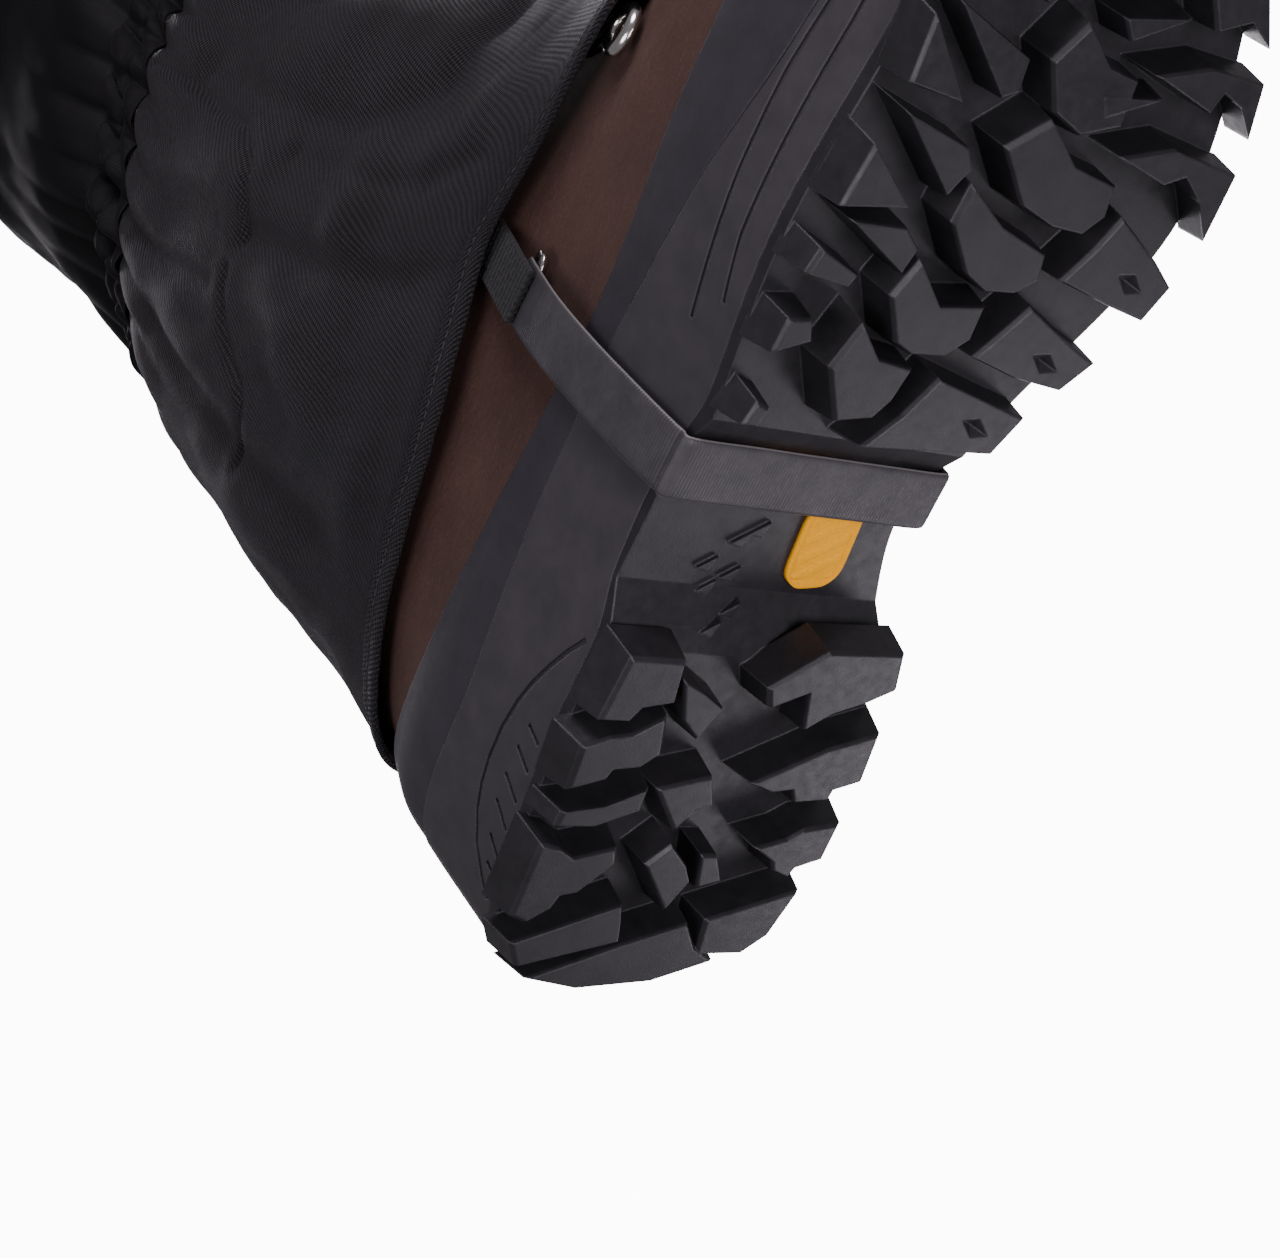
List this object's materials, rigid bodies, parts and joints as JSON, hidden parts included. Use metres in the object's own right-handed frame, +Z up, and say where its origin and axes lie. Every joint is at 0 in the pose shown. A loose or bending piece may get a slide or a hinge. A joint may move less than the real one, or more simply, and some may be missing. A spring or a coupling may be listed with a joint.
{
  "type": "mountaineering boot with gaiter",
  "caption": "Right mountaineering boot with lugged rubber sole, leather upper and rubber rand, wearing a knee gaiter held by an instep strap and a front lace hook.",
  "frame": {"origin": "centre of the bounding box on the ground under the boot", "axes": "+X towards the medial side of the foot, -Y towards the toe, +Z up along the leg"},
  "size_m": [0.1388, 0.3128, 0.45],
  "materials": {
    "outsole_rubber": "moulded black rubber, satin edges",
    "inlay_amber": "satin amber plastic with plain ribs",
    "midsole_polyurethane": "moulded dark grey polyurethane",
    "rand_rubber": "smooth dark rubber",
    "nubuck": "matte brown nubuck",
    "board": "fibre board",
    "shank_steel": "spring steel",
    "footbed_foam": "needle felt over foam",
    "stiffener": "thermoplastic sheet",
    "lining_mesh": "spacer mesh",
    "collar_leather": "soft padded leather",
    "lower_fabric": "ribbed nylon, dull sheen",
    "upper_fabric": "light coated nylon",
    "elastic": "ruched elastic",
    "webbing": "basket weave polyester webbing",
    "strap_tpu": "satin dark grey thermoplastic",
    "nickel": "polished nickel",
    "hook_steel": "blackened steel",
    "snap_metal": "dark enamelled",
    "buckle_nylon": "glass-filled nylon"
  },
  "bodies": {
    "boot": {"outsole": "outsole_rubber", "arch_inlay": "inlay_amber", "midsole": "midsole_polyurethane", "shank_plate": "shank_steel", "insole_board": "board", "footbed": "footbed_foam", "rand": "rand_rubber", "quarter_lateral": "nubuck", "quarter_medial": "nubuck", "vamp": "nubuck", "heel_counter": "stiffener", "toe_puff": "stiffener", "ankle_padding": "footbed_foam", "lining": "lining_mesh", "tongue": "collar_leather", "collar": "collar_leather", "lace_eyelets": "hook_steel", "lace_hooks": "hook_steel", "side_ring": "nickel", "gaiter_lower": "lower_fabric", "gaiter_hem": "lower_fabric", "ankle_elastic": "elastic", "gaiter_upper": "upper_fabric", "top_cuff": "elastic", "cuff_strap": "webbing", "front_placket": "webbing", "instep_strap": "strap_tpu", "webbing_tab_lateral": "webbing", "webbing_tab_medial": "webbing", "strap_buckle_frame": "buckle_nylon", "strap_rivet": "nickel", "cuff_buckle_frame": "buckle_nylon", "hook_tab": "webbing", "strap_lever_pin": "hook_steel", "cuff_lever_pin": "hook_steel", "lace_hook_pin": "hook_steel"},
    "storm_flap": {"storm_flap": "upper_fabric", "flap_snaps": "snap_metal"},
    "lace_hook": {"lace_hook": "hook_steel"},
    "strap_lever": {"strap_buckle_lever": "buckle_nylon"},
    "cuff_lever": {"cuff_buckle_lever": "buckle_nylon"}
  },
  "joints": [
    {"name": "flap_hinge", "type": "hinge", "parent": "boot", "child": "storm_flap", "pos_m": [-0.01936, 0.00247, 0.37], "axis": [0, 0.1036, -0.9946], "range_deg": [0, 120]},
    {"name": "hook_pivot", "type": "hinge", "parent": "boot", "child": "lace_hook", "pos_m": [0.00264, -0.10079, 0.1002], "axis": [-1, 0, 0], "range_deg": [0, 80]},
    {"name": "strap_lever_pivot", "type": "hinge", "parent": "boot", "child": "strap_lever", "pos_m": [0.05103, 0.01611, 0.087], "axis": [0, -1, 0], "range_deg": [0, 80]},
    {"name": "cuff_lever_pivot", "type": "hinge", "parent": "boot", "child": "cuff_lever", "pos_m": [-0.06789, 0.07046, 0.44546], "axis": [-0.0343, 0.9994, 0], "range_deg": [0, 80]}
  ]
}
